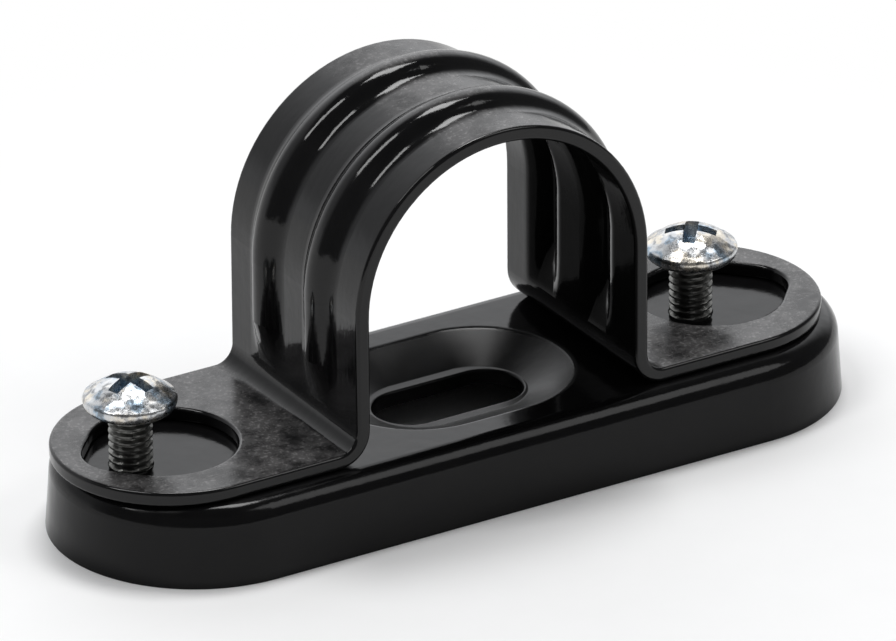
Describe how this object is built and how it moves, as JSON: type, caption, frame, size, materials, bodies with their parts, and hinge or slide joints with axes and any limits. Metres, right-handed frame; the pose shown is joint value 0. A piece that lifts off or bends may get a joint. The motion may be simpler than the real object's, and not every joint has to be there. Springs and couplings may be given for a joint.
{
  "type": "spacer bar saddle",
  "caption": "Pressed steel conduit saddle: a ribbed arch strap with keyhole feet on an upturned oblong spacer bar with a dished fixing slot, held by pan head screws.",
  "frame": {"origin": "middle of the bar's open underside, in the plane of the wall that it is fixed to", "axes": "+X along the bar, +Y along the conduit, +Z away from the wall"},
  "size_m": [0.058, 0.02, 0.0275],
  "materials": {
    "bar_enamel": "gloss black stove enamel",
    "strap_enamel": "gloss black stove enamel",
    "left_screw_zinc": "bright zinc plate",
    "right_screw_zinc": "bright zinc plate"
  },
  "bodies": {
    "root": {"spacer_bar": "bar_enamel", "saddle_strap": "strap_enamel", "left_screw": "left_screw_zinc", "right_screw": "right_screw_zinc"}
  },
  "joints": []
}
